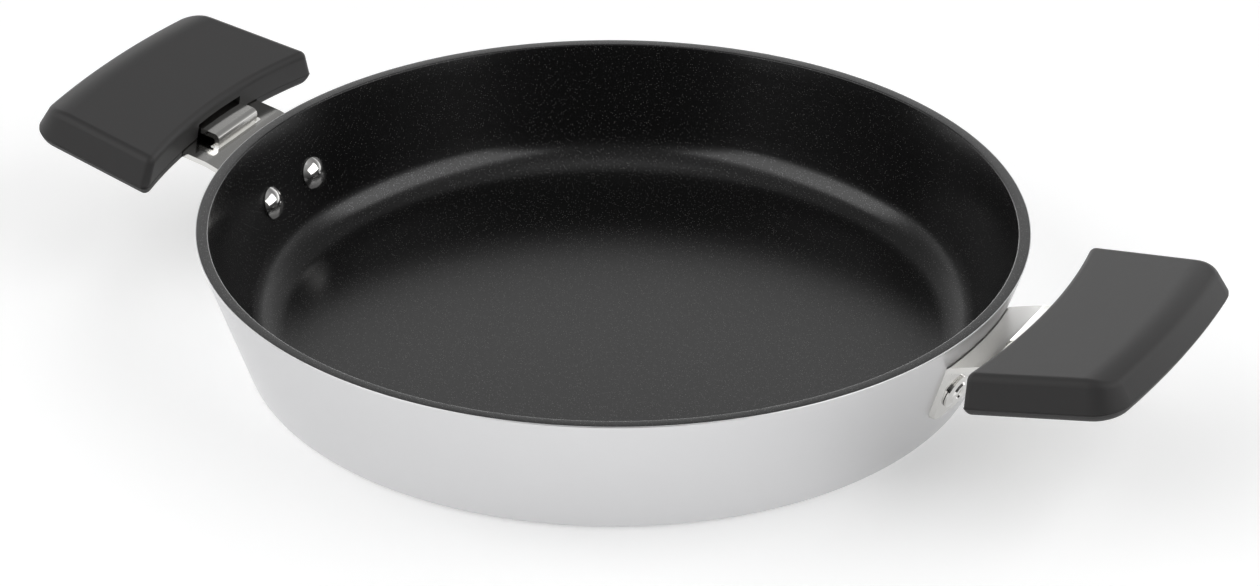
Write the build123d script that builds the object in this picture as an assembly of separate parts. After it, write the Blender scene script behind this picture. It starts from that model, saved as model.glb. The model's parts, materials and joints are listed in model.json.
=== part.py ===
from build123d import *
import os
from math import asin, atan, atan2, cos, degrees, pi, radians, sin, sqrt

# A 28 cm frying pan with two removable side grips, in millimetres.
# The origin is on the pan's axis at the underside, +Z is up and +X runs out
# through the right grip.  The left side is the right side turned half round.

# Pan: a straight wall that leans outwards, over a thick floor
rim_radius = 144.5
base_radius = 128.0
pan_height = 48.0
wall_thickness = 3.9
floor_thickness = 4.5
floor_fillet = 15.0
base_edge_radius = 3.0
rim_inner_radius = 0.4
coating = 0.25

# Steel disc let into the underside, so that the pan works on an induction hob
disc_margin = 18.0
disc_thickness = 1.5
disc_proud = 0.3
disc_edge = 0.25
disc_gap = 0.1

# Bracket: one sheet of stainless steel, a flange on the wall and a tongue
sheet = 2.0
tongue_half_width = 24.25
flange_foot_half_width = 22.0
bend_below_rim = 9.2
flange_drop = 24.3
flange_corner = 4.5
bend_outer_radius = 1.6
bend_inner_radius = 1.5
tongue_bend_radius = 8.0
tongue_end_corner = 5.0

# Rivets, set square to the wall
rivet_above_foot = 10.5
rivet_spread = 14.0
shank_radius = 2.5
shank_clearance = 0.05
inner_head_radius = 6.0
inner_head_height = 3.2
inner_head_edge = 0.5
outer_head_radius = 6.2
outer_head_height = 2.0
outer_head_step_radius = 4.3
outer_head_step = 1.3
outer_head_dimple_radius = 2.2
outer_head_dimple = 0.5
outer_head_bevel = 0.5
outer_head_edge = 0.7
head_seat_gap = 0.2
outer_seat_gap = 0.03

# Grip: where its inner edge stands, and how it leans
grip_from_rim = 18.8
grip_below_rim = 0.1
grip_tilt = 10.0

# Grip outline, seen square to its top: a hollow inner edge, a full outer edge
grip_thickness = 14.2
grip_depth = 50.0
inner_half_length = 55.4
outer_half_length = 51.0
inner_edge_radius = 240.0
outer_edge_radius = 390.0
outer_corner_radius = 12.3
upper_draft = 22.0
lower_draft = 30.0
top_round = 3.5
bottom_round = 5.0
inner_top_round = 2.5
inner_bottom_round = 2.0
roll_width = 13.0
roll_radius = 20.0
roll_beyond = 1.0
parting_chamfer = 0.35

# Tongue inside the grip, measured from the middle of the grip's thickness
tongue_top = -3.5
tongue_fit = 0.2
tongue_side_fit = 0.35
tongue_end_gap = 0.7
bend_from_grip = 11.5

# Latch: a sheet lever on a cross pin, whose hook drops into the tongue's slot
latch_sheet = 2.0
hook_top_above_tongue = 4.5
hook_front = -9.0
hook_half_width = 12.5
hook_tip_below_tongue = -0.4
hook_outer_bend = 2.3
hook_inner_bend = 0.6
hook_corner = 2.0
lever_half_width = 9.0
lever_shoulder = 4.0
slot_front_gap = 0.8
slot_back_gap = 0.4
slot_side_gap = 2.0
slot_corner = 0.8
pin_radius = 1.5
pin_from_edge = 32.0
pin_seat_depth = 3.2
pin_seat_gap = 0.05
pin_clearance = 0.05
knuckle_radius = 2.6
latch_lift = 2.6

# Room for the latch in the upper shell
window_roof_gap = 0.3
window_side_gap = 1.0
knuckle_roof_gap = 0.75
chamber_side_gap = 2.0
chamber_front = 3.0
lever_side_gap = 0.6
knuckle_front_gap = 1.6
knuckle_end_gap = 2.1

# Release button, pressed upwards from below
button_from_edge = 12.0
button_radius = 7.0
button_clearance = 0.15
button_recess = 0.2
button_dish = 0.5
flange_radius = 8.6
flange_height = 1.2
nose_radius = 2.4
nose_gap = 0.3
notch_half_width = 9.6
notch_front_gap = 0.8
notch_corner = 3.0

# Spring over the button, between the lever and the roof of the chamber
spring_mean_radius = 3.0
spring_wire_radius = 0.25
spring_wire_sides = 6
spring_turns = 3
spring_end_gap = 0.1
spring_post_radius = 2.2
spring_post_length = 1.4

# Screws that hold the two shells together
screw_from_edge = 26.0
screw_spread = 37.0
screw_radius = 1.45
screw_hole_clearance = 0.15
screw_head_radius = 3.0
screw_head_height = 1.9
screw_head_recess = 0.3
screw_reach = 7.0

# What follows from those sizes
wall_rise = (rim_radius - base_radius) / pan_height
wall_angle = atan(wall_rise)
disc_radius = base_radius - disc_margin
bend_height = pan_height - bend_below_rim
flange_low = bend_height - flange_drop
rivet_height = flange_low + rivet_above_foot
grip_inner_x = rim_radius + grip_from_rim
grip_mid_height = pan_height - grip_below_rim
body_top = pan_height - coating
base_ring = disc_proud
floor_top = base_ring + floor_thickness
tilt = radians(grip_tilt)
half_thickness = grip_thickness / 2
tongue_bottom = tongue_top - sheet
shell_parting = tongue_top + tongue_fit
channel_floor = tongue_bottom - tongue_fit
latch_top = tongue_top + hook_top_above_tongue
latch_bottom = latch_top - latch_sheet
hook_tip = tongue_bottom - hook_tip_below_tongue
pin_height = latch_bottom + knuckle_radius
pin_half_length = lever_half_width + lever_side_gap + pin_seat_depth
post_half_width = pin_radius - tongue_fit
tongue_reach = pin_from_edge - post_half_width - tongue_end_gap
chamber_top = pin_height + knuckle_radius + knuckle_roof_gap
window_top = latch_top + pin_from_edge * sin(radians(latch_lift)) + window_roof_gap
button_arm = pin_from_edge - button_from_edge
beyond = 40.0
same_place = 0.001


def wall_at(height, depth=0.0):
    """Radius of the wall at a height, at a depth square to its outside."""
    return base_radius + wall_rise * height - depth / cos(wall_angle)


def from_grip(out, up):
    """A point of the grip's own axes, as x and z of the whole pan."""
    return (grip_inner_x + out * cos(tilt) - up * sin(tilt),
            grip_mid_height + out * sin(tilt) + up * cos(tilt))


def side_turn(side):
    """Turns the right side's piece onto the named side."""
    return Rot(0, 0, 0 if side == "right" else 180)


def grip_place(side):
    """Moves a piece drawn in the grip's own axes to its place on the pan."""
    return side_turn(side) * Pos(grip_inner_x, 0, grip_mid_height) * Rot(0, -grip_tilt, 0)


def arc_sagitta(radius, half_chord):
    """Height of an arc over its chord."""
    return radius - sqrt(radius ** 2 - half_chord ** 2)


def nearest_corner(face, x, y):
    """The corner of a flat outline that lies nearest to a point."""
    return face.vertices().sort_by_distance((x, y, 0))[0]


def block(x_range, y_range, z_range):
    """A box between its limits along each axis."""
    sizes = [high - low for low, high in (x_range, y_range, z_range)]
    middle = [(high + low) / 2 for low, high in (x_range, y_range, z_range)]
    return Pos(*middle) * Box(*sizes)


def dome(radius, base, crown):
    """Half of a round cap's outline, from its edge to its crown on the axis."""
    rise = crown - base
    sphere = (radius ** 2 + rise ** 2) / (2 * rise)
    half = asin(radius / abs(sphere)) / 2
    middle = (abs(sphere) * sin(half), crown - sphere * (1 - cos(half)))
    return ThreePointArc((radius, base), middle, (0, crown))


def turned(face):
    """The solid swept by a radius and height outline about the axis."""
    return revolve(Plane.XZ * face, axis=Axis.Z)


def rivet_plane(side, hand):
    """The plane on the outside of the wall where one rivet stands."""
    radius = wall_at(rivet_height)
    turn = asin(hand * rivet_spread / radius) + (0 if side == "right" else pi)
    outwards = Vector(cos(turn) * cos(wall_angle), sin(turn) * cos(wall_angle), -sin(wall_angle))
    return Plane(origin=(radius * cos(turn), radius * sin(turn), rivet_height),
                 x_dir=(-sin(turn), cos(turn), 0), z_dir=outwards)


def rivet_holes(radius):
    """The four holes that the rivets pass through."""
    drill = Cylinder(radius, 2 * (wall_thickness + sheet + coating) + inner_head_radius)
    return [rivet_plane(side, hand) * drill for side in ("right", "left") for hand in (1, -1)]


def pan_body():
    """The cast aluminium bowl, with a seat for the disc in its underside."""
    seat_radius = disc_radius + disc_gap
    outline = make_face(Polyline(
        (0, disc_thickness), (seat_radius, disc_thickness), (seat_radius, base_ring),
        (wall_at(base_ring), base_ring), (wall_at(body_top), body_top),
        (wall_at(body_top, wall_thickness), body_top),
        (wall_at(floor_top, wall_thickness), floor_top), (0, floor_top), close=True))
    outline = fillet(nearest_corner(outline, wall_at(base_ring), base_ring), base_edge_radius)
    outline = fillet(nearest_corner(outline, wall_at(floor_top, wall_thickness), floor_top),
                     floor_fillet)
    outline = fillet(nearest_corner(outline, wall_at(body_top, wall_thickness), body_top),
                     rim_inner_radius)
    return turned(outline) - rivet_holes(shank_radius + shank_clearance)


def nonstick_coating():
    """The black lining, over the floor, up the wall and across the rim."""
    depth = wall_thickness + coating
    lining_top = floor_top + coating
    outline = make_face(Polyline(
        (0, floor_top), (wall_at(floor_top, wall_thickness), floor_top),
        (wall_at(body_top, wall_thickness), body_top), (wall_at(body_top), body_top),
        (wall_at(pan_height), pan_height), (wall_at(pan_height, depth), pan_height),
        (wall_at(lining_top, depth), lining_top), (0, lining_top), close=True))
    outline = fillet(nearest_corner(outline, wall_at(floor_top, wall_thickness), floor_top),
                     floor_fillet)
    outline = fillet(nearest_corner(outline, wall_at(lining_top, depth), lining_top),
                     floor_fillet - coating)
    outline = fillet(nearest_corner(outline, wall_at(body_top, wall_thickness), body_top),
                     rim_inner_radius)
    outline = fillet(nearest_corner(outline, wall_at(pan_height, depth), pan_height),
                     rim_inner_radius + coating)
    return turned(outline) - rivet_holes(shank_radius + shank_clearance)


def induction_disc():
    """The steel disc that the pan stands on."""
    disc = Pos(0, 0, disc_thickness / 2) * Cylinder(disc_radius, disc_thickness)
    return chamfer(disc.edges().group_by(Axis.Z)[0], disc_edge)


def bracket_profile():
    """Side view of the tongue: up from the wall, then in line with the grip."""
    wall_point = (wall_at(bend_height), bend_height)
    bend_point = from_grip(-bend_from_grip, tongue_top)
    end_point = from_grip(tongue_reach, tongue_top)
    first = atan2(bend_point[1] - wall_point[1], bend_point[0] - wall_point[0])
    middle = (first + tilt) / 2
    mitre = sheet / cos((first - tilt) / 2)
    root = (wall_point[0] - tongue_half_width * cos(first) / 2,
            wall_point[1] - tongue_half_width * sin(first) / 2)
    outline = make_face(Polyline(
        root, bend_point, end_point, from_grip(tongue_reach, tongue_bottom),
        (bend_point[0] + mitre * sin(middle), bend_point[1] - mitre * cos(middle)),
        (root[0] + sheet * sin(first), root[1] - sheet * cos(first)), close=True))
    outline = fillet(nearest_corner(outline, *bend_point), tongue_bend_radius)
    lower = (bend_point[0] + mitre * sin(middle), bend_point[1] - mitre * cos(middle))
    outline = fillet(nearest_corner(outline, *lower), tongue_bend_radius + sheet)
    return outline, root, first


def wall_filler(depth, low, high):
    """Solid cone of the wall's outside, thicker or thinner by a depth."""
    return turned(make_face(Polyline(
        (0, low), (wall_at(low, depth), low), (wall_at(high, depth), high), (0, high),
        close=True)))


def tongue_slot():
    """The hook's slot, as a cutter in the grip's own axes."""
    front = hook_front - slot_front_gap
    back = hook_front + latch_sheet + slot_back_gap
    half = hook_half_width + slot_side_gap
    slot = block((front, back), (-half, half), (tongue_bottom - sheet, tongue_top + sheet))
    return fillet(slot.edges().filter_by(Axis.Z), slot_corner)


def tongue_notch():
    """The open notch in the tongue's end, which the button stands in."""
    front = button_from_edge - flange_radius - notch_front_gap
    notch = block((front, tongue_reach + sheet), (-notch_half_width, notch_half_width),
                  (tongue_bottom - sheet, tongue_top + sheet))
    return fillet(notch.edges().filter_by(Axis.Z).group_by(Axis.X)[0], notch_corner)


def right_bracket():
    """The bent sheet that carries the grip, drawn on the right side."""
    outline, root, first = bracket_profile()
    tongue = extrude(Plane.XZ * outline, tongue_half_width, both=True)
    ends = tongue.edges().filter_by(lambda edge: edge.length < sheet * 1.01).group_by(Axis.X)[-1]
    tongue = fillet(ends, tongue_end_corner)
    above = make_face(Polyline(
        root, (root[0] + beyond * cos(first), root[1] + beyond * sin(first)),
        (root[0], root[1] + beyond), close=True))
    flange_outline = make_face(Polyline(
        (-flange_foot_half_width, flange_low), (flange_foot_half_width, flange_low),
        (tongue_half_width, bend_height), (tongue_half_width, bend_height + beyond),
        (-tongue_half_width, bend_height + beyond), (-tongue_half_width, bend_height), close=True))
    for hand in (1, -1):
        corner = nearest_corner(flange_outline, hand * flange_foot_half_width, flange_low)
        flange_outline = fillet(corner, flange_corner)
    flange = wall_filler(-sheet, flange_low - sheet, pan_height)
    flange &= extrude(Plane.YZ * flange_outline, rim_radius + beyond)
    flange -= extrude(Plane.XZ * above, tongue_half_width + sheet, both=True)
    bracket = flange + tongue
    bracket -= wall_filler(0, 0, pan_height + beyond)
    bracket = round_bend(bracket)
    bracket -= rivet_holes(shank_radius + shank_clearance)
    bracket -= grip_place("right") * tongue_slot()
    bracket -= grip_place("right") * tongue_notch()
    return bracket


def round_bend(bracket):
    """Rounds the bend between the flange and the tongue, inside and out."""
    low = bend_height - 3 * sheet
    high = bend_height + sheet
    across = [edge for edge in bracket.edges()
              if edge.length > tongue_half_width and low < edge.center().Z < high
              and edge.center().X < wall_at(bend_height) + 3 * sheet]
    across = sorted(across, key=lambda edge: edge.center().Z)
    bracket = fillet([across[-1]], bend_outer_radius)
    across = [edge for edge in bracket.edges()
              if edge.length > tongue_half_width and low < edge.center().Z < high
              and edge.center().X > wall_at(bend_height) + sheet / 2
              and edge.center().X < wall_at(bend_height) + 3 * sheet]
    across = sorted(across, key=lambda edge: edge.center().Z)
    return fillet([across[0]], bend_inner_radius)


def rivet(side, hand):
    """One rivet: a polished dome inside the pan, a stepped head outside."""
    inside = -(wall_thickness + coating + head_seat_gap)
    outside = sheet + outer_seat_gap
    crown = inside - inner_head_height
    top = outside + outer_head_height
    step = outside + outer_head_step
    dimple = top - outer_head_dimple
    dimple_radius = outer_head_dimple_radius - outer_head_bevel
    ring_radius = outer_head_step_radius - outer_head_bevel
    edge = inside - inner_head_edge
    outline = make_face(
        Line((0, crown), (0, dimple))
        + Line((0, dimple), (dimple_radius, dimple))
        + Line((dimple_radius, dimple), (outer_head_dimple_radius, top))
        + Line((outer_head_dimple_radius, top), (ring_radius, top))
        + Line((ring_radius, top), (outer_head_step_radius, step))
        + Line((outer_head_step_radius, step), (outer_head_radius, outside + outer_head_edge))
        + Line((outer_head_radius, outside + outer_head_edge), (outer_head_radius, outside))
        + Line((outer_head_radius, outside), (shank_radius, outside))
        + Line((shank_radius, outside), (shank_radius, inside))
        + Line((shank_radius, inside), (inner_head_radius, inside))
        + Line((inner_head_radius, inside), (inner_head_radius, edge))
        + dome(inner_head_radius, edge, crown))
    return rivet_plane(side, hand) * turned(outline)


def grip_plan():
    """The grip's outline at its widest, at the parting, and where it starts."""
    inner_corner = -arc_sagitta(inner_edge_radius, inner_half_length)
    outer_corner = grip_depth - arc_sagitta(outer_edge_radius, outer_half_length)
    splay = (inner_half_length - outer_half_length) / (outer_corner - inner_corner)
    start = inner_corner - outer_corner_radius
    start_half = inner_half_length + splay * outer_corner_radius
    plan = make_face(
        Line((start, -start_half), (outer_corner, -outer_half_length))
        + ThreePointArc((outer_corner, -outer_half_length), (grip_depth, 0),
                        (outer_corner, outer_half_length))
        + Line((outer_corner, outer_half_length), (start, start_half))
        + Line((start, start_half), (start, -start_half)))
    return fillet(plan.vertices().group_by(Axis.X)[-1], outer_corner_radius), start


def outer_roll():
    """Cutter that rolls the top off towards the outer edge."""
    begin = grip_depth - roll_width
    full = asin((roll_width + roll_beyond) / roll_radius)
    middle, end = [(begin + roll_radius * sin(turn), half_thickness - roll_radius * (1 - cos(turn)))
                   for turn in (full / 2, full)]
    above = half_thickness + roll_beyond
    outline = make_face(
        ThreePointArc((begin, half_thickness), middle, end)
        + Line(end, (end[0], above)) + Line((end[0], above), (begin, above))
        + Line((begin, above), (begin, half_thickness)))
    centre = (grip_depth - outer_edge_radius, 0, 0)
    return revolve(Plane.XZ * outline, axis=Axis(centre, (0, 0, 1)))


def once(edges):
    """The edges that occur once in a list, so not those between two faces."""
    return [edge for edge in edges
            if sum((edge.center() - other.center()).length < same_place for other in edges) == 1]


def drafted_shell(height, draft, edge_round, inner_round):
    """One shell, drafted away from the parting, with rounded edges."""
    plan, start = grip_plan()
    shell = Pos(0, 0, shell_parting) * extrude(plan, height, taper=draft)
    facing = 1 if height > 0 else -1
    if facing > 0:
        shell -= outer_roll()
    faces = [face for face in shell.faces() if face.normal_at().Z * facing > cos(radians(45))
             and abs(face.center().Z - shell_parting) > same_place]
    rim = once([edge for face in faces for edge in face.edges()])
    shell = fillet([edge for edge in rim if edge.center().X > start + edge_round], edge_round)
    shell -= Pos(-inner_edge_radius, 0, 0) * Cylinder(inner_edge_radius, 2 * grip_thickness)
    hollow = shell.faces().sort_by_distance((0, 0, 0))[0]
    shell = fillet([edge for edge in hollow.edges()
                    if abs(edge.center().Z - shell_parting) > same_place], inner_round)
    meeting = shell.faces().sort_by(Axis.Z)[0 if facing > 0 else -1]
    return chamfer(meeting.edges(), parting_chamfer)


def shell_halves():
    """The upper and the lower shell, before they are hollowed."""
    upper = drafted_shell(half_thickness - shell_parting, upper_draft, top_round, inner_top_round)
    lower = drafted_shell(-half_thickness - shell_parting, lower_draft, bottom_round,
                          inner_bottom_round)
    return upper, lower


def cross_pin(radius, half_length):
    """A round bar across the grip, on the latch's axis."""
    return Pos(pin_from_edge, 0, pin_height) * Rot(90, 0, 0) * Cylinder(radius, 2 * half_length)


def grip_upper(shell):
    """The upper shell, with the latch's window, chamber and pin seats."""
    under = shell_parting - 1
    window = hook_half_width + window_side_gap
    chamber = hook_half_width + chamber_side_gap
    lane = lever_half_width + lever_side_gap
    chamber_back = pin_from_edge + knuckle_radius + knuckle_end_gap
    shell -= block((-beyond, chamber_front + 1), (-window, window), (under, window_top))
    chamber_step = pin_from_edge - knuckle_radius - knuckle_front_gap
    shell -= block((chamber_front, chamber_step), (-chamber, chamber), (under, chamber_top))
    shell -= block((chamber_step - 1, chamber_back), (-lane, lane), (under, chamber_top))
    seat = pin_half_length + pin_seat_gap
    shell -= cross_pin(pin_radius, seat)
    shell -= block((pin_from_edge - pin_radius, pin_from_edge + pin_radius), (-seat, seat),
                   (under, pin_height))
    post_height = chamber_top - spring_post_length / 2
    shell += Pos(button_from_edge, 0, post_height) * Cylinder(spring_post_radius, spring_post_length)
    for hand in (1, -1):
        depth = screw_reach + screw_hole_clearance
        shell -= Pos(screw_from_edge, hand * screw_spread, shell_parting + depth / 2) * Cylinder(
            screw_radius, depth)
    return shell


def grip_lower(shell):
    """The lower shell, with the tongue's channel and the button's hole."""
    channel = tongue_half_width + tongue_side_fit
    shell -= block((-beyond, pin_from_edge - post_half_width), (-channel, channel),
                   (channel_floor, shell_parting + 1))
    shell -= Pos(button_from_edge, 0, -half_thickness) * Cylinder(
        button_radius + button_clearance, grip_thickness)
    post_top = pin_height - pin_radius - pin_seat_gap
    near = lever_half_width + lever_side_gap + tongue_fit
    half = post_half_width
    for hand in (1, -1):
        sides = sorted((hand * near, hand * pin_half_length))
        shell += block((pin_from_edge - half, pin_from_edge + half), sides,
                       (shell_parting - 1, post_top))
        spot = Pos(screw_from_edge, hand * screw_spread, 0)
        shell -= spot * Cylinder(screw_radius + screw_hole_clearance, 2 * grip_thickness)
        seat = -half_thickness + screw_head_recess + screw_head_height
        shell -= spot * Pos(0, 0, seat - grip_thickness / 2) * Cylinder(
            screw_head_radius + screw_hole_clearance, grip_thickness)
    return shell


def latch():
    """The sheet lever: hook in front, knuckle round the pin behind."""
    hook_back = hook_front + latch_sheet
    side = make_face(Polyline(
        (hook_front, hook_tip), (hook_back, hook_tip), (hook_back, latch_bottom),
        (pin_from_edge, latch_bottom), (pin_from_edge, latch_top), (hook_front, latch_top),
        close=True))
    side = fillet(nearest_corner(side, hook_front, latch_top), hook_outer_bend)
    side = fillet(nearest_corner(side, hook_back, latch_bottom), hook_inner_bend)
    plate = extrude(Plane.XZ * side, hook_half_width, both=True)
    tips = plate.edges().filter_by(Axis.X).group_by(Axis.Z)[0]
    plate = fillet(tips, hook_corner)
    for hand in (1, -1):
        sides = sorted((hand * lever_half_width, hand * 2 * hook_half_width))
        plate -= block((lever_shoulder, 2 * pin_from_edge), sides, (-grip_thickness, grip_thickness))
    plate += cross_pin(knuckle_radius, lever_half_width)
    return plate - cross_pin(pin_radius + pin_clearance, 2 * lever_half_width)


def release_button():
    """The push button: a dished face, a flange that keeps it in, and a nose."""
    face = -half_thickness + button_recess
    flange_low_side = channel_floor + button_clearance
    flange_top = flange_low_side + flange_height
    nose_top = latch_bottom - nose_gap
    outline = make_face(
        dome(button_radius, face, face + button_dish)
        + Line((button_radius, face), (button_radius, flange_low_side))
        + Line((button_radius, flange_low_side), (flange_radius, flange_low_side))
        + Line((flange_radius, flange_low_side), (flange_radius, flange_top))
        + Line((flange_radius, flange_top), (nose_radius, flange_top))
        + Line((nose_radius, flange_top), (nose_radius, nose_top - nose_radius / 2))
        + dome(nose_radius, nose_top - nose_radius / 2, nose_top)
        + Line((0, nose_top), (0, face + button_dish)))
    return Pos(button_from_edge, 0, 0) * turned(outline)


def coil_point(turn, pitch):
    """A point of the coil's middle line and its direction, after so many turns."""
    angle = 2 * pi * turn
    point = Vector(spring_mean_radius * cos(angle), spring_mean_radius * sin(angle), pitch * turn)
    along = Vector(-2 * pi * spring_mean_radius * sin(angle),
                   2 * pi * spring_mean_radius * cos(angle), pitch)
    return point, along.normalized()


def two_arcs(start, start_along, end, end_along):
    """Two arcs that leave one point and reach another in given directions."""
    chord = end - start
    both = start_along + end_along
    bend = 2 * (1 - start_along.dot(end_along))
    reach = (sqrt(chord.dot(both) ** 2 + bend * chord.dot(chord)) - chord.dot(both)) / bend
    joint = (start + end) * 0.5 + (start_along - end_along) * (reach / 2)
    first = TangentArc(start, joint, tangent=start_along)
    return [first, TangentArc(joint, end, tangent=first % 1)]


def bent_wire(arc):
    """Wire along one arc, turned about the arc's own middle."""
    outwards = arc @ 0 - arc.arc_center
    across = Plane(origin=arc @ 0, x_dir=outwards, z_dir=arc % 0)
    section = across * RegularPolygon(spring_wire_radius, spring_wire_sides)
    return revolve(section, axis=Axis(arc.arc_center, outwards.cross(arc % 0)),
                   revolution_arc=degrees(arc.length / arc.radius))


def latch_spring():
    """The coil spring that holds the hook down in its slot."""
    low = latch_top + spring_end_gap + spring_wire_radius
    high = chamber_top - spring_end_gap - spring_wire_radius
    pitch = (high - low) / spring_turns
    print("spring: gap between turns", round(pitch - 2 * spring_wire_radius, 2), "mm")
    marks = [coil_point(step / 2, pitch) for step in range(2 * spring_turns + 1)]
    arcs = [arc for first, last in zip(marks, marks[1:]) for arc in two_arcs(*first, *last)]
    wires = [bent_wire(arc) for arc in arcs]
    return Pos(button_from_edge, 0, low) * (wires[0] + wires[1:])


def grip_screws():
    """Two screws, from below through the lower shell into the upper one."""
    seat = -half_thickness + screw_head_recess + screw_head_height
    tip = shell_parting + screw_reach
    outline = make_face(Polyline(
        (0, seat - screw_head_height), (screw_head_radius, seat - screw_head_height),
        (screw_head_radius, seat), (screw_radius, seat), (screw_radius, tip - screw_radius),
        (screw_radius / 3, tip), (0, tip), close=True))
    screw = turned(outline)
    return Compound([Pos(screw_from_edge, hand * screw_spread, 0) * screw for hand in (1, -1)])


def write(shape, name):
    """Saves one piece under its node's name."""
    shape.label = name
    export_step(shape, f"parts/{name}.step")


def main():
    """Builds every piece and writes it out."""
    os.makedirs("parts", exist_ok=True)
    write(pan_body(), "pan_body")
    write(nonstick_coating(), "nonstick_coating")
    write(induction_disc(), "induction_disc")
    bracket = right_bracket()
    upper, lower = shell_halves()
    upper, lower = grip_upper(upper), grip_lower(lower)
    loose = {"latch": latch(), "latch_pin": cross_pin(pin_radius, pin_half_length),
             "latch_spring": latch_spring(), "release_button": release_button(),
             "grip_screws": grip_screws(), "grip_upper": upper, "grip_lower": lower}
    for side in ("right", "left"):
        write(side_turn(side) * bracket, f"{side}_bracket")
        for hand, letter in ((1, "a"), (-1, "b")):
            write(rivet(side, hand), f"{side}_rivet_{letter}")
        for name, shape in loose.items():
            write(grip_place(side) * shape, f"{side}_{name}")
    print("wall leans", round(degrees(wall_angle), 2), "degrees")
    print("hook lifts", round((pin_from_edge - hook_front) * sin(radians(latch_lift)), 2),
          "mm and the button travels", round(button_arm * radians(latch_lift), 3), "mm")
    print("latch pin at", [round(value, 3) for value in from_grip(pin_from_edge, pin_height)])


main()
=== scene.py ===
# %% [markdown]
# # A 28 cm frying pan with two removable side grips
#
# The construction comes in ready made, as a fixed frame of named pieces in
# metres: the pan stands on the floor, +Z is up and +X runs out through the
# right grip. This lesson dresses it. The large turned surfaces, which show
# every flaw in a reflection, are worked out again as smooth grids; the pieces
# whose shape is right already keep it and only get a finish.

# %% Load the frame
import json
from math import atan, atan2, cos, degrees, pi, radians, sin, tan

import bpy
import numpy as np
from mathutils import Matrix, Vector


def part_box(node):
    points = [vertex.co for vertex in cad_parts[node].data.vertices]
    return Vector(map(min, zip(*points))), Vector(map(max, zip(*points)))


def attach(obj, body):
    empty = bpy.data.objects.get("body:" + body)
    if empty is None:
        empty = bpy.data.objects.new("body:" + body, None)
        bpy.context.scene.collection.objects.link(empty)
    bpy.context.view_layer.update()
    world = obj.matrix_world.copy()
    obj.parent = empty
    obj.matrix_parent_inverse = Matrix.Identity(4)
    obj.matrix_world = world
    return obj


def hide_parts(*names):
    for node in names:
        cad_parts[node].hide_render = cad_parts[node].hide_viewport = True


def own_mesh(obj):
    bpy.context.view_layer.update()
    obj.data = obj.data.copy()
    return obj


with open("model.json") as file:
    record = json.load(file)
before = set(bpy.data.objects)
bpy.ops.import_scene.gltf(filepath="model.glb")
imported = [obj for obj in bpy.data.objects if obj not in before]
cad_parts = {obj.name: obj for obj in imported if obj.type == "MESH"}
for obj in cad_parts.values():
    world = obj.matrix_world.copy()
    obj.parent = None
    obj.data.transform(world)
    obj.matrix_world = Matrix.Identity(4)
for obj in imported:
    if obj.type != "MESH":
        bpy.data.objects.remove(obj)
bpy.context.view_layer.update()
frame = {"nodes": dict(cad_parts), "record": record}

NODES = frame["nodes"]
print("pieces in the frame:", len(NODES))

# %% [markdown]
# ## Sizes
#
# Lengths are written in millimetres, as a maker would, and turned to metres
# once, when a mesh is made. What the frame can tell is read from the frame.

# %% Sizes in millimetres
MM = 0.001
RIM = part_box("nonstick_coating")[1].x / MM
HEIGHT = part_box("nonstick_coating")[1].z / MM
BASE_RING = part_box("pan_body")[0].z / MM
LINING_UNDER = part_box("nonstick_coating")[0].z / MM
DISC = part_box("induction_disc")[1].x / MM
DISC_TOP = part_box("induction_disc")[1].z / MM
BASE = 128.0
WALL = 3.9
COAT = 0.25
FILLET = 15.0
BASE_EDGE = 3.0
SEAT_GAP = 0.1
WALL_RISE = (RIM - BASE) / HEIGHT
WALL_LEAN = atan(WALL_RISE)
FLOOR = LINING_UNDER + COAT
print(f"rim {2 * RIM:.0f} mm across, {HEIGHT:.0f} mm high, wall leans {degrees(WALL_LEAN):.1f} degrees")


# %% [markdown]
# ## Camera
#
# The picture was taken with a long lens from well above the rim. The camera
# stands on a line that is turned and raised from the pan's own axes, and looks
# at a point just above the floor of the pan.

# %% Camera
IMAGE_WIDTH = 1260
FOCAL_PIXELS = 4413.6
VIEW_TURN = radians(28.49)
VIEW_RISE = radians(28.49)
VIEW_ROLL = radians(-0.306)
VIEW_DISTANCE = 1542.9
LOOK_SIDEWAYS = 5.88
LOOK_HEIGHT = 18.26
SENSOR_WIDTH = 36.0


def make_camera():
    """Camera on a ray that leaves the look-at point at the view's turn and rise."""
    right = Vector((cos(VIEW_TURN), sin(VIEW_TURN), 0))
    back = Vector((sin(VIEW_TURN) * cos(VIEW_RISE), -cos(VIEW_TURN) * cos(VIEW_RISE),
                   sin(VIEW_RISE)))
    up = back.cross(right)
    target = right * LOOK_SIDEWAYS + Vector((0, 0, LOOK_HEIGHT))
    side = right * cos(VIEW_ROLL) - up * sin(VIEW_ROLL)
    top = right * sin(VIEW_ROLL) + up * cos(VIEW_ROLL)
    data = bpy.data.cameras.new("camera")
    data.sensor_width = SENSOR_WIDTH
    data.lens = FOCAL_PIXELS * SENSOR_WIDTH / IMAGE_WIDTH
    data.clip_end = 100
    camera = bpy.data.objects.new("camera", data)
    place = Matrix((side, top, back)).transposed().to_4x4()
    place.translation = (target + back * VIEW_DISTANCE) * MM
    camera.matrix_world = place
    bpy.context.scene.collection.objects.link(camera)
    bpy.context.scene.camera = camera
    return camera


camera = make_camera()
print(f"lens {camera.data.lens:.0f} mm, {VIEW_DISTANCE / 1000:.2f} m away")

# %% [markdown]
# ## Meshes from arrays
#
# Every new piece is a grid of points worked out at once, or an outline carried
# round an axis. An outline with rounded corners is the commonest start, so it
# gets the first helper.

# %% Outlines with rounded corners
ARC_STEP = radians(9)


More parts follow.
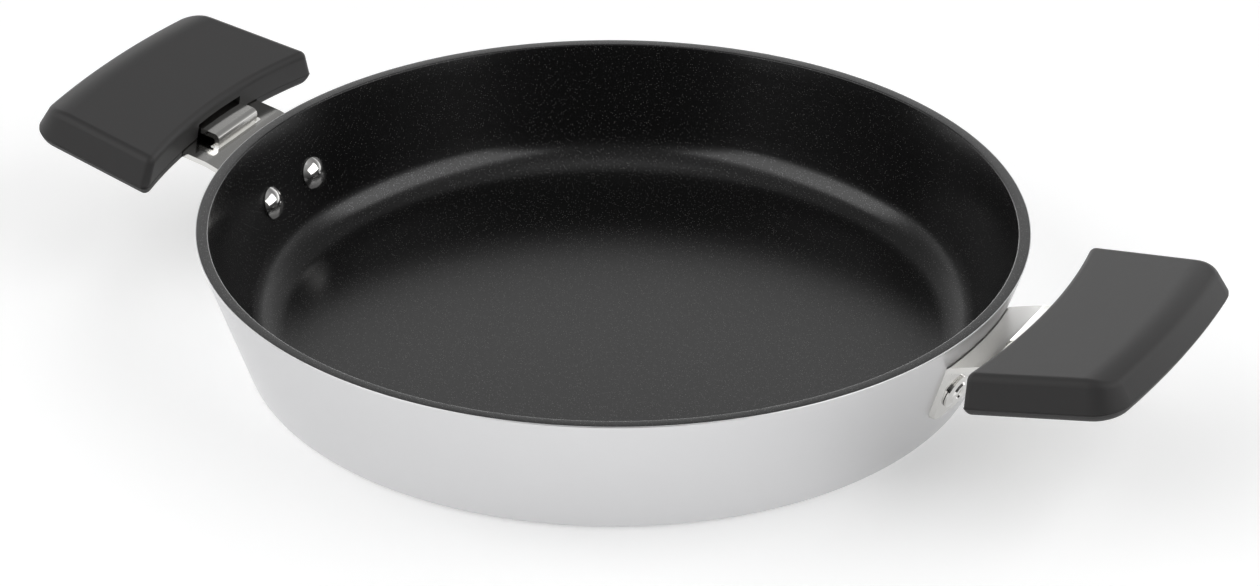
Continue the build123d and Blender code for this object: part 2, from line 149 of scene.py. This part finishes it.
def rounded(points, radii, arc_step=ARC_STEP):
    """Outline through the points, each corner replaced by an arc of its radius.

    The arc of radius r in a corner that turns by t starts r * tan(t / 2) before
    the corner, and its points are centre + r * (cos, sin) of evenly spaced
    angles. A radius of zero keeps the corner sharp.
    """
    points = np.asarray(points, float)
    out = [points[:1]]
    for before, corner, after, radius in zip(points, points[1:], points[2:], radii):
        into, away = corner - before, after - corner
        into, away = into / np.hypot(*into), away / np.hypot(*away)
        turn = atan2(into[0] * away[1] - into[1] * away[0], into @ away)
        if radius == 0 or abs(turn) < 1e-4:
            out.append(corner[None])
            continue
        hand = 1 if turn > 0 else -1
        start = corner - into * radius * tan(abs(turn) / 2)
        centre = start + hand * radius * np.array((-into[1], into[0]))
        first = atan2(*(start - centre)[::-1])
        angles = first + np.linspace(0, turn, max(2, int(abs(turn) / arc_step) + 2))
        out.append(centre + radius * np.stack((np.cos(angles), np.sin(angles)), axis=1))
    out.append(points[-1:])
    return np.concatenate(out)


def divided(outline, longest):
    """The same outline with extra points, so that no run is longer than given."""
    lengths = np.hypot(*np.diff(outline, axis=0).T)
    counts = np.maximum(1, np.ceil(lengths / longest).astype(int))
    travel = np.concatenate(([0], np.cumsum(lengths)))
    marks = np.concatenate([np.linspace(a, b, n, endpoint=False)
                            for a, b, n in zip(travel, travel[1:], counts)] + [travel[-1:]])
    return np.stack([np.interp(marks, travel, outline[:, k]) for k in (0, 1)], axis=1)


# %% Turned shapes
def lathe(outline, steps):
    """Vertices and faces of an outline of (radius, height) turned about Z.

    Point (r, h) at angle a lies at (r cos a, r sin a, h). An end at radius zero
    is one vertex with a fan of triangles, so the pole is closed. The outline
    runs from the underside outwards and up, which makes the faces look out.
    """
    low_pole, high_pole = outline[0, 0] < 1e-9, outline[-1, 0] < 1e-9
    rings = outline[int(low_pole):len(outline) - int(high_pole)]
    angles = np.arange(steps) * 2 * pi / steps
    verts = np.stack((np.outer(np.cos(angles), rings[:, 0]),
                      np.outer(np.sin(angles), rings[:, 0]),
                      np.broadcast_to(rings[:, 1], (steps, len(rings)))), axis=2).reshape(-1, 3)
    index = np.arange(steps * len(rings)).reshape(steps, len(rings))
    ahead = np.roll(index, -1, axis=0)
    quads = np.stack((index[:, :-1], ahead[:, :-1], ahead[:, 1:], index[:, 1:]), axis=2)
    faces = quads.reshape(-1, 4).tolist()
    if not low_pole and not high_pole:
        seam = np.stack((index[:, -1], ahead[:, -1], ahead[:, 0], index[:, 0]), axis=1)
        faces += seam.tolist()
    if low_pole:
        verts = np.vstack((verts, (0, 0, outline[0, 1])))
        pole = np.full(steps, len(verts) - 1)
        faces += np.stack((pole, ahead[:, 0], index[:, 0]), axis=1).tolist()
    if high_pole:
        verts = np.vstack((verts, (0, 0, outline[-1, 1])))
        pole = np.full(steps, len(verts) - 1)
        faces += np.stack((pole, index[:, -1], ahead[:, -1]), axis=1).tolist()
    return verts, faces


# %% From arrays to a piece
SHARP = radians(40)


def make_piece(name, verts, faces, material, body="pan", sharp=SHARP):
    """One object at the origin, its place in its mesh, riding on a body."""
    mesh = bpy.data.meshes.new(name)
    mesh.from_pydata((np.asarray(verts) * MM).tolist(), [], faces)
    mesh.validate()
    mesh.shade_smooth()
    mesh.set_sharp_from_angle(angle=sharp)
    mesh.materials.append(material)
    piece = bpy.data.objects.new(name, mesh)
    bpy.context.scene.collection.objects.link(piece)
    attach(piece, body)
    print(f"{name}: {len(mesh.vertices)} vertices, {len(mesh.polygons)} faces")
    return piece


# %% [markdown]
# ## Material helpers
#
# A material here is a small graph of nodes. One helper adds a node with its
# settings and links, another turns a colour as painters write it, in sRGB, to
# the linear values that a renderer adds up.

# %% Colours and nodes
def linear(hex_colour, alpha=1.0):
    """An sRGB hex colour as linear red, green, blue and alpha."""
    values = [int(hex_colour[k:k + 2], 16) / 255 for k in (1, 3, 5)]
    return (*[v / 12.92 if v <= 0.04045 else ((v + 0.055) / 1.055) ** 2.4 for v in values], alpha)


def add(tree, kind, inputs=None, **settings):
    """Adds one node, sets its options, and fills or links its input sockets."""
    node = tree.nodes.new(kind)
    for name, value in settings.items():
        setattr(node, name, value)
    for name, value in (inputs or {}).items():
        if isinstance(value, bpy.types.NodeSocket):
            tree.links.new(value, node.inputs[name])
        else:
            node.inputs[name].default_value = value
    return node


def new_material(name):
    """An empty node material with its shader and output already joined."""
    material = bpy.data.materials.new(name)
    material.use_nodes = True
    tree = material.node_tree
    tree.nodes.clear()
    shader = add(tree, "ShaderNodeBsdfPrincipled")
    add(tree, "ShaderNodeOutputMaterial", {"Surface": shader.outputs[0]})
    return material, tree, shader


def place_of(tree):
    """The point being shaded, in the object's own metres."""
    return add(tree, "ShaderNodeTexCoord").outputs["Object"]


def link(tree, source, node, name):
    """Joins one output to a node's input."""
    tree.links.new(source, node.inputs[name])


# %% [markdown]
# ## Satin-turned aluminium
#
# The bowl's outside was turned on a lathe, which leaves fine rings round it. An
# image could hold such rings, but noise that reads only the height draws them at
# any size and never repeats. A real tool mark is a few hundredths of a
# millimetre wide. Here the rings are drawn 0.35 mm apart, as fine as the picture
# can hold. Anisotropy about the pan's axis stretches the reflection across them.

# %% Turned aluminium
RING_SPACING = 0.35 * MM


def turned_aluminium():
    """Bright metal with fine rings that follow the height."""
    material, tree, shader = new_material("satin_turned_aluminium")
    shader.inputs["Base Color"].default_value = linear("#DADADB")
    shader.inputs["Metallic"].default_value = 1.0
    shader.inputs["Anisotropic"].default_value = 0.7
    split = add(tree, "ShaderNodeSeparateXYZ", {"Vector": place_of(tree)})
    rings = add(tree, "ShaderNodeTexNoise", {"W": split.outputs["Z"], "Scale": 1 / RING_SPACING,
                                             "Detail": 2.0}, noise_dimensions="1D")
    rough = add(tree, "ShaderNodeMapRange", {"Value": rings.outputs[0], "From Min": 0.3,
                                             "From Max": 0.7, "To Min": 0.30, "To Max": 0.38})
    bump = add(tree, "ShaderNodeBump", {"Height": rings.outputs[0], "Strength": 0.12,
                                        "Distance": 0.0002})
    tangent = add(tree, "ShaderNodeTangent", direction_type="RADIAL", axis="Z")
    link(tree, rough.outputs[0], shader, "Roughness")
    link(tree, bump.outputs[0], shader, "Normal")
    link(tree, tangent.outputs[0], shader, "Tangent")
    return material


# %% [markdown]
# ## Non-stick lining
#
# The lining is a sprayed and baked black film, satin rather than glossy. Fine
# pale mineral specks and still finer metal flakes lie in it, and a sprayed coat
# keeps a faint orange-peel. Dots are made from the cells of a Voronoi pattern,
# because each cell has a random number that can leave most of them empty. Real
# specks are about a tenth of a millimetre wide, and these are a little larger,
# so that they show.

# %% Non-stick lining
SPECK_SPACING = 0.6 * MM
FLAKE_SPACING = 0.3 * MM
PEEL_SPACING = 0.7 * MM


def dots(tree, place, spacing, inner, outer, rarest):
    """Round dots, one in some cells of a pattern: 1 inside, 0 outside.

    Each cell has a random number from 0 to 1, and only cells above the value
    called rarest show their dot. Its edge fades between the inner and the outer
    share of the spacing.
    """
    cells = add(tree, "ShaderNodeTexVoronoi", {"Vector": place, "Scale": 1 / spacing})
    shape = add(tree, "ShaderNodeMapRange", {"Value": cells.outputs["Distance"], "From Min": inner,
                                             "From Max": outer, "To Min": 1.0, "To Max": 0.0})
    lot = add(tree, "ShaderNodeSeparateColor", {"Color": cells.outputs["Color"]})
    shown = add(tree, "ShaderNodeMath", {0: lot.outputs[0], 1: rarest}, operation="GREATER_THAN")
    both = add(tree, "ShaderNodeMath", {0: shape.outputs[0], 1: shown.outputs[0]},
               operation="MULTIPLY")
    return both.outputs[0]


def nonstick_lining():
    """Black film with metal flakes, pale specks and the peel of a sprayed coat."""
    material, tree, shader = new_material("nonstick_film")
    place = place_of(tree)
    shader.inputs["IOR"].default_value = 1.5
    flakes = dots(tree, place, FLAKE_SPACING, inner=0.34, outer=0.42, rarest=0.90)
    specks = dots(tree, place, SPECK_SPACING, inner=0.14, outer=0.22, rarest=0.55)
    film = add(tree, "ShaderNodeMix", {"Factor": flakes, "A": linear("#070707"),
                                       "B": linear("#6E6E70")}, data_type="RGBA")
    colour = add(tree, "ShaderNodeMix", {"Factor": specks, "A": film.outputs["Result"],
                                         "B": linear("#6A6866")}, data_type="RGBA")
    peel = add(tree, "ShaderNodeTexNoise", {"Vector": place, "Scale": 1 / PEEL_SPACING,
                                            "Detail": 3.0})
    bump = add(tree, "ShaderNodeBump", {"Height": peel.outputs[0], "Strength": 0.05,
                                        "Distance": 0.0001})
    rough = add(tree, "ShaderNodeMapRange", {"Value": peel.outputs[0], "To Min": 0.20,
                                             "To Max": 0.26})
    link(tree, flakes, shader, "Metallic")
    link(tree, colour.outputs["Result"], shader, "Base Color")
    link(tree, rough.outputs[0], shader, "Roughness")
    link(tree, bump.outputs[0], shader, "Normal")
    return material


# %% [markdown]
# ## Steel
#
# Stainless steel comes in several finishes here. The brackets and hooks are
# polished sheet and the rivets are polished bright, so they mirror the room with
# hardly any blur. Pins, screws and springs are plain and duller. One function
# makes them all, with its own colour and roughness for each. The disc in the
# base is faced on a lathe, so its rings follow the radius and need their own.

# %% Steels
def polished_steel(name, colour, roughness, spread, grain_spacing):
    """Polished metal with a faint uneven grain in its gloss and its surface.

    The roughness strays by the spread to each side, and the grain's spacing is
    in millimetres.
    """
    material, tree, shader = new_material(name)
    shader.inputs["Base Color"].default_value = linear(colour)
    shader.inputs["Metallic"].default_value = 1.0
    marks = add(tree, "ShaderNodeTexNoise", {"Vector": place_of(tree), "Detail": 3.0,
                                             "Scale": 1 / (grain_spacing * MM)})
    rough = add(tree, "ShaderNodeMapRange", {"Value": marks.outputs[0], "To Min": roughness - spread,
                                             "To Max": roughness + spread})
    bump = add(tree, "ShaderNodeBump", {"Height": marks.outputs[0], "Strength": 0.05,
                                        "Distance": 0.0001})
    link(tree, rough.outputs[0], shader, "Roughness")
    link(tree, bump.outputs[0], shader, "Normal")
    return material


GROOVE_SPACING = 0.8 * MM


def turned_steel():
    """Steel faced on a lathe, with rings that follow the radius."""
    material, tree, shader = new_material("turned_base_steel")
    shader.inputs["Base Color"].default_value = linear("#B9B9BA")
    shader.inputs["Metallic"].default_value = 1.0
    shader.inputs["Anisotropic"].default_value = 0.6
    flat = add(tree, "ShaderNodeVectorMath", {0: place_of(tree), 1: (1, 1, 0)}, operation="MULTIPLY")
    radius = add(tree, "ShaderNodeVectorMath", {0: flat.outputs[0]}, operation="LENGTH")
    rings = add(tree, "ShaderNodeTexNoise", {"W": radius.outputs["Value"],
                                             "Scale": 1 / GROOVE_SPACING}, noise_dimensions="1D")
    rough = add(tree, "ShaderNodeMapRange", {"Value": rings.outputs[0], "To Min": 0.25,
                                             "To Max": 0.4})
    bump = add(tree, "ShaderNodeBump", {"Height": rings.outputs[0], "Strength": 0.3,
                                        "Distance": 0.0002})
    link(tree, rough.outputs[0], shader, "Roughness")
    link(tree, bump.outputs[0], shader, "Normal")
    return material


# %% [markdown]
# ## Moulded grips
#
# The grips are phenolic resin, moulded in a tool with a finely eroded surface.
# That gives a dry, dark grey with a grain of a few tenths of a millimetre and a
# broad soft highlight. The release buttons are nylon, a little smoother. The
# grain goes into the bump and the roughness, since it is too shallow to change
# the outline.

# %% Moulded plastics
GLOSS_SPREAD = 0.06


def moulded(name, colour, roughness, grain_spacing, strength):
    """Dark plastic with the fine even grain of an eroded mould.

    The grain's spacing is in millimetres, and the strength is its depth as the
    light sees it, from 0 to 1.
    """
    material, tree, shader = new_material(name)
    place = place_of(tree)
    grain = add(tree, "ShaderNodeTexNoise", {"Vector": place, "Scale": 1 / (grain_spacing * MM),
                                             "Detail": 2.0})
    bump = add(tree, "ShaderNodeBump", {"Height": grain.outputs[0], "Strength": strength,
                                        "Distance": 0.0001})
    rough = add(tree, "ShaderNodeMapRange", {"Value": grain.outputs[0],
                                             "To Min": roughness - GLOSS_SPREAD,
                                             "To Max": roughness + GLOSS_SPREAD})
    shader.inputs["Base Color"].default_value = linear(colour)
    shader.inputs["IOR"].default_value = 1.5
    link(tree, rough.outputs[0], shader, "Roughness")
    link(tree, bump.outputs[0], shader, "Normal")
    return material


# %% One material for each finish
MATERIALS = {
    "cast_aluminium": turned_aluminium(),
    "nonstick_lining": nonstick_lining(),
    "base_steel": turned_steel(),
    "bracket_steel": polished_steel("polished_sheet_steel", "#DAD9D6", 0.12, 0.04, 0.8),
    "latch_steel": polished_steel("polished_latch_steel", "#E6E5E2", 0.09, 0.03, 0.8),
    "rivet_steel": polished_steel("polished_rivet_steel", "#E2E1DF", 0.09, 0.03, 0.5),
    "screw_steel": polished_steel("plain_screw_steel", "#AEADAB", 0.3, 0.05, 0.5),
    "spring_steel": polished_steel("plain_spring_wire", "#8E8D8B", 0.35, 0.05, 0.3),
    "grip_phenolic": moulded("moulded_phenolic", "#272626", 0.60, 0.35, 0.3),
    "button_nylon": moulded("moulded_nylon", "#222223", 0.45, 0.5, 0.2),
}
print("finishes:", len(MATERIALS))

# %% [markdown]
# ## The bowl
#
# The bowl is one turned profile: a seat for the steel disc, a rounded foot, a
# straight leaning wall, and a narrow bright lip at the rim where the lining
# stops. It could be modelled by hand and smoothed, but a lathe is what made the
# real one, so a turned outline gives its true shape and its exact reflections.

# %% Bowl
LIP = 0.5
LIP_BEVEL = 0.3
SEAT_ROUND = 0.2
LIP_ROUND = 0.15
LIP_TOP_ROUND = 0.1
LEDGE_ROUND = 0.4
AROUND = 360
LONGEST_RUN = 6.0


def wall_at(height, depth=0.0):
    """Radius of the wall at a height, at a depth square to its outside."""
    return BASE + WALL_RISE * height - depth / cos(WALL_LEAN)


def bowl_outline():
    """Underside, foot, outer wall, lip, then down inside under the lining."""
    under = HEIGHT - COAT
    corners = [(0, DISC_TOP), (DISC + SEAT_GAP, DISC_TOP), (DISC + SEAT_GAP, BASE_RING),
               (wall_at(BASE_RING), BASE_RING),
               (wall_at(HEIGHT - LIP_BEVEL), HEIGHT - LIP_BEVEL),
               (RIM - LIP_BEVEL, HEIGHT), (RIM - LIP, HEIGHT), (RIM - LIP, under),
               (wall_at(under, WALL), under), (wall_at(LINING_UNDER, WALL), LINING_UNDER),
               (0, LINING_UNDER)]
    radii = [SEAT_ROUND, SEAT_ROUND, BASE_EDGE, LIP_ROUND, LIP_TOP_ROUND, 0, 0, LEDGE_ROUND, FILLET]
    return divided(rounded(corners, radii), LONGEST_RUN)


bowl = make_piece("bowl", *lathe(bowl_outline(), AROUND), MATERIALS["cast_aluminium"])
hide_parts("pan_body")

# %% [markdown]
# ## The lining
#
# The film covers the floor, the wall and the flat of the rim. Painting the bowl
# black inside would do for one picture, but a closed thin shell has a real edge
# where it meets the bright lip, and it is a piece of its own, as the coat is.

# %% Lining
FILM = 0.2
RIM_ROUND = 0.65
RIM_ROUND_BELOW = 0.45
FILM_EDGE_ROUND = 0.08


def lining_outline():
    """Along the film's underside to the lip, over the rim, and down the inside."""
    below = COAT - FILM
    rim_low, floor_low = HEIGHT - FILM, FLOOR - FILM
    inner = WALL + COAT
    back = [(0, floor_low), (wall_at(floor_low, WALL + below), floor_low),
            (wall_at(rim_low, WALL + below), rim_low), (RIM - LIP, rim_low)]
    front = [(RIM - LIP, HEIGHT), (wall_at(HEIGHT, inner), HEIGHT),
             (wall_at(FLOOR, inner), FLOOR), (0, FLOOR)]
    radii = [FILLET - below, RIM_ROUND_BELOW, 0, FILM_EDGE_ROUND, RIM_ROUND, FILLET - COAT]
    return divided(rounded(back + front, radii), LONGEST_RUN)


lining = make_piece("lining", *lathe(lining_outline(), AROUND), MATERIALS["nonstick_lining"])
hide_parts("nonstick_coating")

# %% [markdown]
# ## Latch springs
#
# Inside each grip a small coil spring presses the latch down, and it shortens
# when the latch lifts. A smooth coil of round wire takes the place of the frame's
# spring, in the same box, and keeps one shape. A coil is a circle carried along
# a helix, and both are plain formulas.

# %% Springs
SPRING_WIRE = 0.25
SPRING_TURNS = 3
WIRE_SIDES = 12
STEPS_A_TURN = 36
JOINT_AXIS = {row["name"]: np.array(row["axis"]) for row in frame["record"]["behaviour"]["joints"]}


def coil(node, axis):
    """Round wire wound about the axis, between the ends of the frame's spring.

    At share t of its length the wire's centre is t of the way up the axis and
    R * (cos a, sin a) beside it, with a = 2 pi * turns * t. Round the centre
    goes a circle of the wire's radius, in the plane of outwards and upwards.
    """
    side = np.array((0.0, 1.0, 0.0))
    own_axes = np.stack((np.cross(side, axis), side, axis))
    points = np.array([vertex.co for vertex in node.data.vertices]) / MM @ own_axes.T
    low, high = points.min(axis=0), points.max(axis=0)
    share = np.linspace(0, 1, SPRING_TURNS * STEPS_A_TURN + 1)[:, None]
    angle = 2 * pi * SPRING_TURNS * share
    outwards = np.hstack((np.cos(angle), np.sin(angle), 0 * angle))
    upwards = np.array((0.0, 0.0, 1.0))
    start = (low + high) / 2 * (1, 1, 0) + upwards * (low[2] + SPRING_WIRE)
    climb = upwards * (high[2] - low[2] - 2 * SPRING_WIRE)
    centre = start + share * climb + outwards * ((high[1] - low[1]) / 2 - SPRING_WIRE)
    round_wire = (np.arange(WIRE_SIDES) * 2 * pi / WIRE_SIDES)[None, :, None]
    ring = outwards[:, None] * np.cos(round_wire) + upwards * np.sin(round_wire)
    verts = (centre[:, None] + SPRING_WIRE * ring).reshape(-1, 3) @ own_axes
    index = np.arange(len(verts)).reshape(len(share), WIRE_SIDES)
    beside = np.roll(index, -1, axis=1)
    quads = np.stack((index[:-1], index[1:], beside[1:], beside[:-1]), axis=2)
    return verts, quads.reshape(-1, 4).tolist() + [index[0].tolist(), index[-1, ::-1].tolist()]


for hand in ("right", "left"):
    axis = JOINT_AXIS[f"{hand}_button_press"]
    verts, faces = coil(NODES[f"{hand}_latch_spring"], axis)
    spring = make_piece(f"{hand}_coil_spring", verts, faces, MATERIALS["spring_steel"])
    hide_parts(f"{hand}_latch_spring")
    upper_end = verts[(verts @ axis).argmax()] * MM
    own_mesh(spring)

# %% [markdown]
# ## The other pieces
#
# Grips, brackets, rivets, latches, pins, screws and buttons already have their
# real outlines and edges in the frame. Making them again would only risk their
# fit, so each keeps its mesh and takes the finish that the record names for it.

# %% Finish of the pieces that keep their shape
record_slots = {row["node"]: row["material_slot"] for row in frame["record"]["subparts"]}
for node_name, node in NODES.items():
    if not node.hide_render:
        node.material_slots[0].material = MATERIALS[record_slots[node_name]]
print("pieces with their own shape:", sum(not node.hide_render for node in NODES.values()))

# %% [markdown]
# ## Floor
#
# The pan stands on a seamless white floor. More lamps could make a floor white,
# but they would wash out the pan. So for the camera and for mirror rays a third
# of its white is a steady glow, and the rest is its pale colour under the lamps,
# which keeps the shadow. All other rays see a plain matt white.

# %% Floor
FLOOR_SIZE = 40.0
FLOOR_DROP = 0.05
FLOOR_GLOW = 0.36


def white_floor_material():
    """Matt white that glows a little for camera and mirror rays, and keeps shadows."""
    material = bpy.data.materials.new("seamless_white")
    material.use_nodes = True
    tree = material.node_tree
    tree.nodes.clear()
    rays = add(tree, "ShaderNodeLightPath")
    direct = add(tree, "ShaderNodeMath", {0: rays.outputs["Is Camera Ray"],
                                          1: rays.outputs["Is Glossy Ray"]}, operation="MAXIMUM")
    seen = add(tree, "ShaderNodeMath", {0: direct.outputs[0],
                                        1: rays.outputs["Is Transmission Ray"]}, operation="MAXIMUM")
    matt = add(tree, "ShaderNodeBsdfDiffuse", {"Color": linear("#D8D8D8")})
    pale = add(tree, "ShaderNodeBsdfDiffuse", {"Color": linear("#E6E6E6")})
    glow = add(tree, "ShaderNodeEmission", {"Color": (1, 1, 1, 1), "Strength": FLOOR_GLOW})
    both = add(tree, "ShaderNodeAddShader", {0: pale.outputs[0], 1: glow.outputs[0]})
    mix = add(tree, "ShaderNodeMixShader", {"Fac": seen.outputs[0], 1: matt.outputs[0],
                                            2: both.outputs[0]})
    add(tree, "ShaderNodeOutputMaterial", {"Surface": mix.outputs[0]})
    return material


def make_floor():
    """One wide square under the pan."""
    half = FLOOR_SIZE / 2
    mesh = bpy.data.meshes.new("floor")
    low = -FLOOR_DROP * MM
    mesh.from_pydata([(-half, -half, low), (half, -half, low), (half, half, low),
                      (-half, half, low)], [], [(0, 1, 2, 3)])
    mesh.materials.append(white_floor_material())
    floor = bpy.data.objects.new("floor", mesh)
    bpy.context.scene.collection.objects.link(floor)


make_floor()

# %% [markdown]
# ## Room
#
# Dark, glossy things show the room more than their own colour. The room here is
# dim, with a bright backdrop that stands low behind the pan: the pan's floor and
# the flat of its rim mirror it, and the back of the pan's wall hides it from the
# far half of the floor. A formula of the direction does this without a picture,
# and it is fixed to the room, so it stays in its place when the camera moves.

# %% Room
VIEW_RIGHT = Vector((cos(VIEW_TURN), sin(VIEW_TURN), 0))
VIEW_AWAY = Vector((-sin(VIEW_TURN), cos(VIEW_TURN), 0))


def studio_world(overhead, beyond, around):
    """White to the camera; to everything else a dim room with a bright backdrop.

    In a direction whose height is z and whose share away from the camera is k,
    the light is overhead * z^2 + beyond * k * (1 - z)^4 + around. In a world,
    the coordinate called Generated is that direction.
    """
    world = bpy.data.worlds.new("studio")
    bpy.context.scene.world = world
    world.use_nodes = True
    tree = world.node_tree
    tree.nodes.clear()

    def calculate(operation, first, second):
        return add(tree, "ShaderNodeMath", {0: first, 1: second}, operation=operation).outputs[0]

    def share(direction):
        dot = add(tree, "ShaderNodeVectorMath", {0: towards, 1: direction}, operation="DOT_PRODUCT")
        return calculate("MAXIMUM", dot.outputs["Value"], 0.0)

    towards = add(tree, "ShaderNodeTexCoord").outputs["Generated"]
    height, away = share((0, 0, 1)), share(VIEW_AWAY)
    top = calculate("MULTIPLY", calculate("POWER", height, 2.0), overhead)
    fall = calculate("POWER", calculate("SUBTRACT", 1.0, height), 4.0)
    backdrop = calculate("MULTIPLY", calculate("MULTIPLY", fall, away), beyond)
    room = calculate("ADD", calculate("ADD", top, backdrop), around)
    lit = add(tree, "ShaderNodeBackground", {"Color": (1, 1, 1, 1), "Strength": room})
    white = add(tree, "ShaderNodeBackground", {"Color": (1, 1, 1, 1), "Strength": 1.0})
    rays = add(tree, "ShaderNodeLightPath")
    mix = add(tree, "ShaderNodeMixShader", {"Fac": rays.outputs["Is Camera Ray"],
                                            1: lit.outputs[0], 2: white.outputs[0]})
    add(tree, "ShaderNodeOutputWorld", {"Surface": mix.outputs[0]})


studio_world(overhead=0.4, beyond=5.2, around=0.04)

# %% [markdown]
# ## Lamps
#
# Two large soft boxes stand at the sides, a little towards the camera. They
# light the wall, and each draws a soft highlight on the far rounding between
# floor and wall, with a dark gap in the middle. A weak box far behind and a weak
# one overhead lift the rim and the tops of the grips. Large boxes are used
# because small lamps would draw hard spots in the steel.

# %% Lamps
def soft_box(name, right, away, up, size, power):
    """A soft box placed by metres right of, beyond and above the pan, facing it.

    Its first size lies level and its second runs up, as a lamp on a stand does.
    """
    data = bpy.data.lights.new(name, "AREA")
    data.shape = "RECTANGLE"
    data.size, data.size_y = size
    data.energy = power
    lamp = bpy.data.objects.new(name, data)
    bpy.context.scene.collection.objects.link(lamp)
    place = VIEW_RIGHT * right + VIEW_AWAY * away + Vector((0, 0, up))
    back = place.normalized()
    level = Vector((0, 0, 1)).cross(back).normalized()
    turn = Matrix((level, back.cross(level), back)).transposed().to_4x4()
    turn.translation = place
    lamp.matrix_world = turn
    return lamp


soft_box("left_box", -1.05, -0.3, 0.92, (1.7, 0.9), 10.0)
soft_box("right_box", 1.05, -0.3, 0.92, (1.7, 0.9), 10.0)
soft_box("back_box", 0.0, 1.65, 0.68, (2.2, 0.8), 1.4)
soft_box("top_box", 0.0, 0.1, 1.6, (0.7, 0.7), 0.3)

# %% [markdown]
# ## Look
#
# The Standard view shows each colour as it is written.

# %% Render look
bpy.context.scene.view_settings.view_transform = "Standard"
